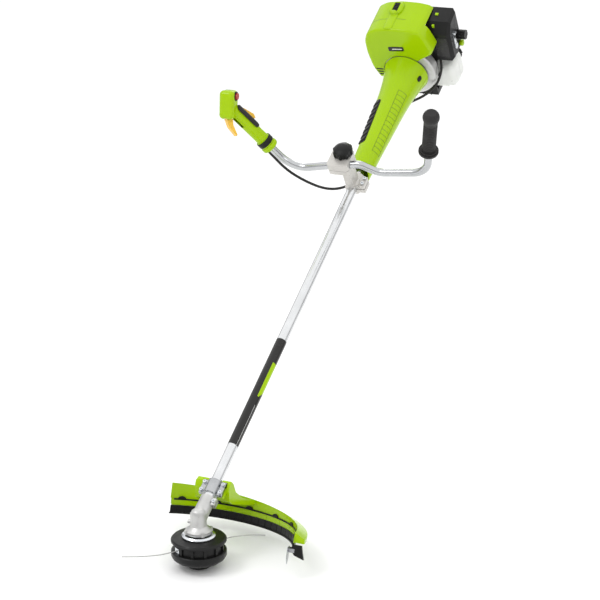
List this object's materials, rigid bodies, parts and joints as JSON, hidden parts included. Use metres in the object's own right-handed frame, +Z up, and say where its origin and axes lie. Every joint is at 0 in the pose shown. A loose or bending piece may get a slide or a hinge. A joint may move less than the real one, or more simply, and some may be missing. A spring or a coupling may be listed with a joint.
{
  "type": "string trimmer",
  "caption": "Petrol string trimmer: engine and clutch drive a line head through a straight tube, with a bull-horn handlebar, thumb throttle and rear guard.",
  "frame": {"origin": "where the bump knob touches the ground, on the cutting head's axis", "axes": "+Z up along the cutting head's axis, +Y level from the head towards the engine, +X to the side of the fuel tank and air filter"},
  "size_m": [0.5928, 1.5426, 1.1209],
  "materials": {
    "green_plastic": "glossy moulded",
    "black_plastic": "fine moulded grain",
    "grip_rubber": "ribbed, matt",
    "bar_aluminium": "drawn tube",
    "tube_aluminium": "drawn tube",
    "cast_aluminium": "die cast",
    "silver_paint": "satin",
    "steel": "machined",
    "zinc_steel": "plated",
    "amber_plastic": "moulded",
    "red_plastic": "moulded",
    "tank_plastic": "milky",
    "nylon": "clear nylon",
    "brown_phenolic": "phenolic",
    "foam": "foam",
    "bronze": "sintered"
  },
  "bodies": {
    "frame": {"gear_case": "cast_aluminium", "shaft_tube": "tube_aluminium", "shaft_bushes": "bronze", "ball_bearings": "steel", "guard_shell": "green_plastic", "guard_extension": "green_plastic", "guard_lip": "black_plastic", "line_cutter": "steel", "guard_clamp": "zinc_steel", "bar_saddle": "silver_paint", "bar_cap": "silver_paint", "front_cover": "green_plastic", "clutch_housing": "cast_aluminium", "crankcase": "cast_aluminium", "cylinder": "cast_aluminium", "spark_plug": "zinc_steel", "ignition_coil": "black_plastic", "muffler": "steel", "engine_shroud": "green_plastic", "intake_insulator": "brown_phenolic", "carburettor": "cast_aluminium", "filter_base": "black_plastic", "filter_element": "foam", "filter_cover": "black_plastic", "fuel_tank": "tank_plastic", "fuel_line": "grip_rubber", "tank_stand": "black_plastic", "starter_housing": "black_plastic", "clamp_screws": "zinc_steel", "throttle_cable": "grip_rubber"},
    "cutting_head": {"head_housing": "black_plastic", "head_cover": "black_plastic", "line_eyelets": "zinc_steel", "head_dish": "zinc_steel", "output_shaft": "steel", "line_left": "nylon", "line_right": "nylon"},
    "bump_spool": {"line_spool": "black_plastic", "bump_knob": "black_plastic"},
    "drive_line": {"drive_shaft": "steel", "drive_pinion": "steel", "clutch_drum": "steel"},
    "crank": {"crankshaft": "steel", "flywheel": "cast_aluminium", "clutch_shoes": "steel"},
    "piston": {"piston": "cast_aluminium"},
    "starter_pulley": {"starter_pulley": "black_plastic"},
    "starter_handle": {"starter_handle": "black_plastic"},
    "clamp_knob": {"clamp_knob": "black_plastic"},
    "handlebar_set": {"handlebar": "bar_aluminium", "left_grip": "grip_rubber", "throttle_housing_inner": "green_plastic", "throttle_housing_outer": "green_plastic"},
    "throttle_trigger": {"throttle_trigger": "amber_plastic"},
    "lockout_lever": {"lockout_lever": "amber_plastic"},
    "stop_switch": {"stop_switch": "red_plastic"},
    "choke_lever": {"choke_lever": "zinc_steel"},
    "primer_bulb": {"primer_bulb": "grip_rubber"},
    "fuel_cap": {"fuel_cap": "black_plastic"},
    "filter_knob": {"filter_knob": "black_plastic"}
  },
  "joints": [
    {"name": "head_spin", "type": "hinge", "parent": "frame", "child": "cutting_head", "pos_m": [0, 0, 0.1], "axis": [0, 0, 1], "continuous": true},
    {"name": "bump_feed", "type": "slide", "parent": "cutting_head", "child": "bump_spool", "axis": [0, 0, 1], "range_m": [0, 0.006], "stiffness_N_per_m": 2500, "springref_m": -0.006},
    {"name": "drive_spin", "type": "hinge", "parent": "frame", "child": "drive_line", "pos_m": [0, 0.58707, 0.49825], "axis": [0, 0.8387, 0.5446], "continuous": true},
    {"name": "crank_spin", "type": "hinge", "parent": "frame", "child": "crank", "pos_m": [0, 1.30162, 0.96228], "axis": [0, 0.8387, 0.5446], "continuous": true},
    {"name": "piston_stroke", "type": "slide", "parent": "frame", "child": "piston", "axis": [0, -0.5446, 0.8387], "range_m": [-0.032, 0]},
    {"name": "starter_pull", "type": "slide", "parent": "frame", "child": "starter_handle", "axis": [-1, 0, 0], "range_m": [0, 0.6], "stiffness_N_per_m": 15, "springref_m": -0.6},
    {"name": "starter_pulley_spin", "type": "hinge", "parent": "frame", "child": "starter_pulley", "pos_m": [0, 1.35613, 0.99768], "axis": [0, -0.8387, -0.5446], "range_deg": [0, 1360]},
    {"name": "clamp_knob_turn", "type": "hinge", "parent": "frame", "child": "clamp_knob", "pos_m": [-0.003, 0.82724, 0.79491], "axis": [0, -0.5446, 0.8387], "range_deg": [0, 360]},
    {"name": "bar_pitch", "type": "hinge", "parent": "frame", "child": "handlebar_set", "pos_m": [0.0055, 0.81775, 0.76729], "axis": [0.9842, -0.0964, 0.1484], "range_deg": [-15, 15], "deforming": ["throttle_cable"]},
    {"name": "trigger_squeeze", "type": "hinge", "parent": "handlebar_set", "child": "throttle_trigger", "pos_m": [-0.27484, 0.72018, 0.90374], "axis": [0.8012, -0.5543, 0.2255], "range_deg": [0, 18], "stiffness_Nm_per_rad": 0.5, "springref_deg": -20.05},
    {"name": "lockout_press", "type": "hinge", "parent": "handlebar_set", "child": "lockout_lever", "pos_m": [-0.25543, 0.74607, 0.89838], "axis": [-0.8012, 0.5543, -0.2255], "range_deg": [0, 12], "stiffness_Nm_per_rad": 0.2, "springref_deg": -20.05},
    {"name": "stop_press", "type": "slide", "parent": "handlebar_set", "child": "stop_switch", "axis": [-0.9994, -0.0348, 0.0024], "range_m": [0, 0.003], "stiffness_N_per_m": 300, "springref_m": -0.003},
    {"name": "choke_turn", "type": "hinge", "parent": "frame", "child": "choke_lever", "pos_m": [0.129, 1.27665, 1.00807], "axis": [1, 0, 0], "range_deg": [0, 50]},
    {"name": "primer_press", "type": "slide", "parent": "frame", "child": "primer_bulb", "axis": [-1, 0, 0], "range_m": [0, 0.003], "stiffness_N_per_m": 400, "springref_m": -0.002},
    {"name": "fuel_cap_turn", "type": "hinge", "parent": "frame", "child": "fuel_cap", "pos_m": [0.088, 1.38018, 0.96799], "axis": [0, 0.8387, 0.5446], "range_deg": [0, 270]},
    {"name": "filter_knob_turn", "type": "hinge", "parent": "frame", "child": "filter_knob", "pos_m": [0.13, 1.29695, 1.03556], "axis": [1, 0, 0], "range_deg": [0, 360]}
  ],
  "couplings": [
    {"joint": "drive_spin", "follows": "head_spin", "ratio": 1.3571},
    {"joint": "starter_pulley_spin", "follows": "starter_pull", "rad_per_m": 39.216}
  ]
}
